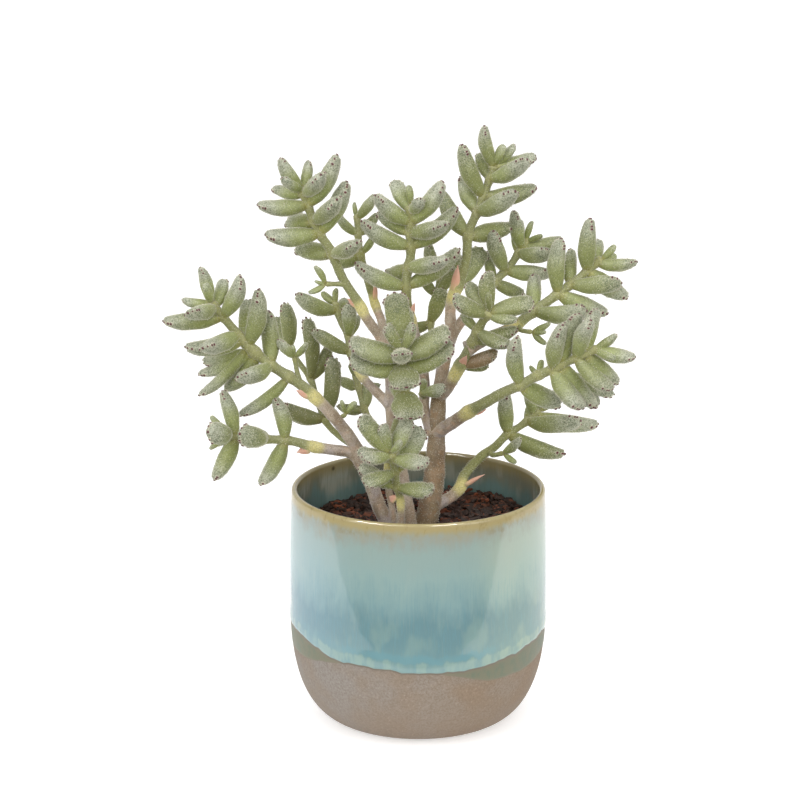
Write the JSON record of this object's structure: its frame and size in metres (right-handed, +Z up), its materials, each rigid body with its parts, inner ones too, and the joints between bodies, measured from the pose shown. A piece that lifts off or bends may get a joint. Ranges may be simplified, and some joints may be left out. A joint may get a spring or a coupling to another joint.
{
  "type": "potted succulent plant",
  "caption": "Branching succulent with paired fleshy toothed leaves, growing from bark soil in a round-bellied stoneware pot with a glazed upper part and a bare foot.",
  "frame": {"origin": "centre of the pot's flat base", "axes": "+Z up along the pot's axis, -Y towards the viewer in front, +X to the right"},
  "size_m": [0.2325, 0.13, 0.3006],
  "materials": {
    "glaze": "gloss, streaked pale aqua to blue-green over bare taupe stoneware at the foot",
    "bark_chips": "dark red-brown bark and coir chips",
    "stem_bark": "fuzzy, grey-brown when old and green near the tips",
    "leaf_green": "fleshy green covered in short white fuzz, with dark red-brown teeth"
  },
  "bodies": {
    "root": {"leaves_behind_left": "leaf_green", "leaves_behind_right": "leaf_green", "leaves_centre": "leaf_green", "leaves_far_right": "leaf_green", "leaves_front": "leaf_green", "leaves_inner_left": "leaf_green", "leaves_inner_right": "leaf_green", "leaves_left": "leaf_green", "leaves_low_front": "leaf_green", "leaves_low_left": "leaf_green", "leaves_low_right": "leaf_green", "leaves_right": "leaf_green", "leaves_top_left": "leaf_green", "leaves_top_right": "leaf_green", "pot": "glaze", "soil": "bark_chips", "sprig_centre": "leaf_green", "sprig_far_right": "leaf_green", "sprig_left": "leaf_green", "sprig_left_base": "leaf_green", "sprig_low_right": "leaf_green", "sprig_top_left": "leaf_green", "stem_behind_centre": "stem_bark", "stem_behind_left": "stem_bark", "stem_behind_low": "stem_bark", "stem_behind_middle": "stem_bark", "stem_behind_right": "stem_bark", "stem_centre": "stem_bark", "stem_far_right": "stem_bark", "stem_front": "stem_bark", "stem_inner_left": "stem_bark", "stem_inner_right": "stem_bark", "stem_left": "stem_bark", "stem_low_front": "stem_bark", "stem_low_left": "stem_bark", "stem_low_right": "stem_bark", "stem_right": "stem_bark", "stem_top_left": "stem_bark", "stem_top_right": "stem_bark", "stem_trunk": "stem_bark", "tip_behind_centre": "leaf_green", "tip_behind_left": "leaf_green", "tip_behind_low": "leaf_green", "tip_behind_middle": "leaf_green", "tip_behind_right": "leaf_green", "tip_centre": "leaf_green", "tip_far_right": "leaf_green", "tip_front": "leaf_green", "tip_inner_left": "leaf_green", "tip_inner_right": "leaf_green", "tip_left": "leaf_green", "tip_low_front": "leaf_green", "tip_low_left": "leaf_green", "tip_low_right": "leaf_green", "tip_right": "leaf_green", "tip_top_left": "leaf_green", "tip_top_right": "leaf_green"}
  },
  "joints": []
}
